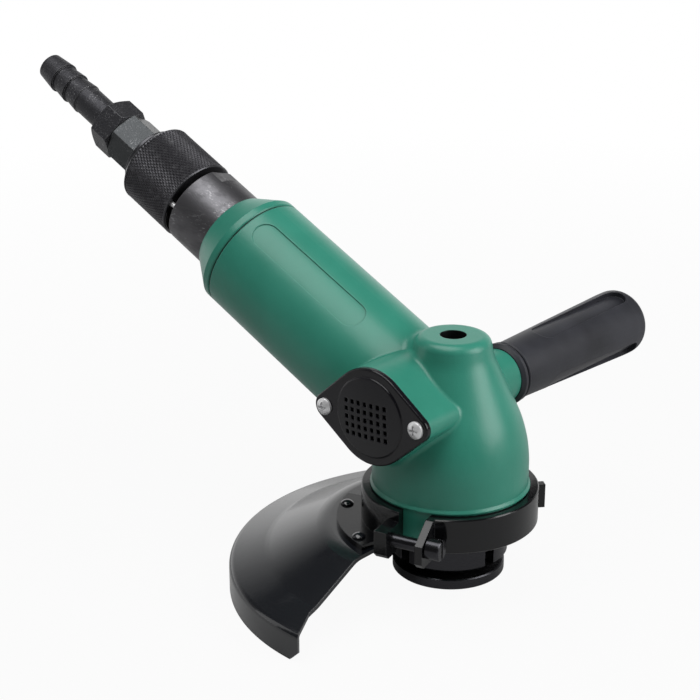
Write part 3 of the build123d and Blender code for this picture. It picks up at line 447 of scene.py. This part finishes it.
def knurledSleeve():
    rootR = sleeve["tipR"] - sleeve["depth"]
    across = 2 * math.tan(math.pi / sleeve["count"]) * rootR
    length = sleeve["rows"] * sleeve["pitch"]
    side = 2 * sleeve["rows"] + 4
    bm = bmesh.new()
    # a sheet of diamonds, each raised to a point, cut down to one column
    bmesh.ops.create_grid(bm, x_segments=side, y_segments=side, size=side / 2)
    bmesh.ops.rotate(bm, verts=bm.verts, cent=(0, 0, 0), matrix=Matrix.Rotation(math.pi / 4, 3, "Z"))
    bmesh.ops.scale(bm, verts=bm.verts, vec=(across / math.sqrt(2), sleeve["pitch"] / math.sqrt(2), 1))
    bmesh.ops.poke(bm, faces=bm.faces[:], offset=sleeve["depth"])
    for point, normal in (((across / 2, 0, 0), (1, 0, 0)), ((-across / 2, 0, 0), (-1, 0, 0)),
                          ((0, 0, 0), (0, -1, 0)), ((0, length, 0), (0, 1, 0))):
        bmesh.ops.bisect_plane(bm, geom=bm.verts[:] + bm.edges[:] + bm.faces[:], dist=1e-5,
                               plane_co=point, plane_no=normal, clear_outer=True)
    upright = Matrix(((0, 0, 1, rootR), (1, 0, 0, 0), (0, 1, 0, sleeve["start"]), (0, 0, 0, 1)))
    bmesh.ops.transform(bm, verts=bm.verts, matrix=upright)
    for vert in bm.verts:  # the column's sides lie on the spokes, so that each meets the next
        if abs(vert.co.y) > across / 4:
            spoke = math.copysign(math.pi / sleeve["count"], vert.co.y)
            vert.co.x, vert.co.y = vert.co.x * math.cos(spoke), vert.co.x * math.sin(spoke)
    steps = sleeve["count"] - 1
    bmesh.ops.spin(bm, geom=bm.verts[:] + bm.edges[:] + bm.faces[:], cent=(0, 0, 0), axis=(0, 0, 1),
                   dvec=(0, 0, 0), angle=2 * math.pi * steps / sleeve["count"], steps=steps, use_merge=False,
                   use_duplicate=True)
    bmesh.ops.remove_doubles(bm, verts=bm.verts, dist=sleeve["weld"])
    openEdges = [edge for edge in bm.edges if edge.is_boundary]
    middle = sleeve["start"] + length / 2
    front = [edge for edge in openEdges if edge.verts[0].co.z < middle]
    rear = [edge for edge in openEdges if edge.verts[0].co.z > middle]
    # plain rims, end faces and bore
    for radius, height in ((sleeve["tipR"], sleeve["front"] + sleeve["edge"]),
                           (sleeve["tipR"] - sleeve["edge"], sleeve["front"]),
                           (sleeve["slotOut"], sleeve["front"]), (sleeve["slotIn"], sleeve["front"]),
                           (sleeve["boreR"], sleeve["front"])):
        front = pushRing(bm, front, radius, height)
    for radius, height in ((sleeve["tipR"], sleeve["rear"] - sleeve["chamfer"]),
                           (sleeve["tipR"] - sleeve["chamfer"], sleeve["rear"]),
                           (sleeve["boreR"], sleeve["rear"])):
        rear = pushRing(bm, rear, radius, height)
    bmesh.ops.bridge_loops(bm, edges=front + rear)
    bmesh.ops.recalc_face_normals(bm, faces=bm.faces)
    # the stop pin's slot in the front face
    slot = []
    for face in bm.faces:
        spot = face.calc_center_median()
        angle = math.degrees(math.atan2(spot.y, spot.x))
        flat = abs(spot.z - sleeve["front"]) < sleeve["near"]
        if flat and sleeve["slotIn"] < math.hypot(spot.x, spot.y) < sleeve["slotOut"]:
            if sleeve["slotFrom"] < angle < sleeve["slotTo"]:
                slot.append(face)
    sunk = bmesh.ops.extrude_face_region(bm, geom=slot)["geom"]
    bmesh.ops.delete(bm, geom=[face for face in slot if face.is_valid], context="FACES")
    sunkVerts = [item for item in sunk if isinstance(item, bmesh.types.BMVert)]
    bmesh.ops.translate(bm, verts=sunkVerts, vec=(0, 0, sleeve["slotFloor"] - sleeve["front"]))
    knurlEnd = sleeve["start"] + length
    for face in bm.faces:  # turned ends and bore, cut knurl between
        spot = face.calc_center_median()
        outside = math.hypot(spot.x, spot.y) > rootR - sleeve["skin"]
        face.material_index = 0 if outside and sleeve["start"] < spot.z < knurlEnd else 1
    bmesh.ops.transform(bm, verts=bm.verts, matrix=barrelFrame)
    loose = [edge for edge in bm.edges if not edge.is_manifold]
    print("knurled sleeve: open edges", len(loose))
    piece = addPiece(bm, "knurledSleeve", ["knurlSteel", "sleeveSteel"], "throttle")
    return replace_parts(piece, "throttle_sleeve")


knurledSleeve()


# floor, lamps and white surroundings

studio = {"floor": -0.0085, "reach": 4.0, "tone": 0.45, "near": 0.94, "ambient": 0.10, "dim": 0.07,
          "wallDrop": -0.8}


def paleFloor():
    bm = bmesh.new()
    bmesh.ops.create_grid(bm, x_segments=2, y_segments=2, size=studio["reach"])
    bmesh.ops.translate(bm, verts=bm.verts, vec=(0, 0, studio["floor"]))
    mesh = bpy.data.meshes.new("paleFloor")
    bm.to_mesh(mesh)
    bm.free()
    card = newFinish("floorCard")
    spot = card.place()
    clear = card.ramp(card.length(spot), (0.25, studio["near"]), (0.95, 1))  # shadow near, white further out
    glow = card.ramp(card.lengthAlong(spot, -viewBack), (0.10, studio["dim"]), (0.75, 1))
    seen = card.ray("Is Camera Ray") + card.ray("Is Transmission Ray")
    plain = card.node("BsdfDiffuse", {}, {"Color": (studio["tone"], studio["tone"], studio["tone"], 1)})
    white = card.node("Emission", {}, {"Color": (1, 1, 1, 1), "Strength": 1.0})
    share = seen * clear + card.ray("Is Glossy Ray") * glow
    both = card.node("MixShader", {}, {0: share, 1: plain, 2: white})
    card.node("OutputMaterial", {}, {"Surface": both})
    mesh.materials.append(card.owner)
    floor = bpy.data.objects.new("paleFloor", mesh)
    scene.collection.objects.link(floor)


# white low down behind the object, dim above and in front, as in a room with one white wall
def whiteWorld():
    world = bpy.data.worlds.new("whiteWorld")
    scene.world = world
    air = Finish(world)
    toWall = Vector((-viewBack.x, -viewBack.y, studio["wallDrop"]))
    way = air.node("TexCoord", {}, {}, "Generated")
    glow = air.ramp(air.lengthAlong(way, toWall), (0.18, studio["dim"]), (0.70, 1))
    seen = air.ray("Is Camera Ray") + air.ray("Is Transmission Ray")
    glossy = air.ray("Is Glossy Ray")
    level = seen + glossy * glow + (1 - seen - glossy) * studio["ambient"]
    light = air.node("Background", {}, {"Color": (1, 1, 1, 1), "Strength": level})
    air.node("OutputWorld", {}, {"Surface": light})


# each lamp stands at an offset from the middle of the object and points at it
middleOfObject = Vector((-0.06, 0, 0.09))
lamps = {
    "overhead": {"offset": Vector((-0.06, -0.20, 0.90)), "size": (0.9, 0.7), "power": 7.2},
    "rightSide": {"offset": Vector((0.82, 0.30, 0.40)), "size": (0.55, 0.7), "power": 6.4},
    "leftSide": {"offset": Vector((0, 0, 0.30)) - viewRight * 0.90 - viewBack * 0.10, "size": (0.30, 0.9),
                 "power": 0.7},
}


def addLamp(name, lamp):
    light = bpy.data.lights.new(name, "AREA")
    light.shape, light.energy = "RECTANGLE", lamp["power"]
    light.size, light.size_y = lamp["size"]
    stand = bpy.data.objects.new(name, light)
    stand.location = middleOfObject + lamp["offset"]
    stand.rotation_mode = "QUATERNION"
    stand.rotation_quaternion = (-lamp["offset"]).to_track_quat("-Z", "Y")
    scene.collection.objects.link(stand)


paleFloor()
whiteWorld()
for name, lamp in lamps.items():
    addLamp(name, lamp)
print("stage lit by", len(lamps), "lamps")
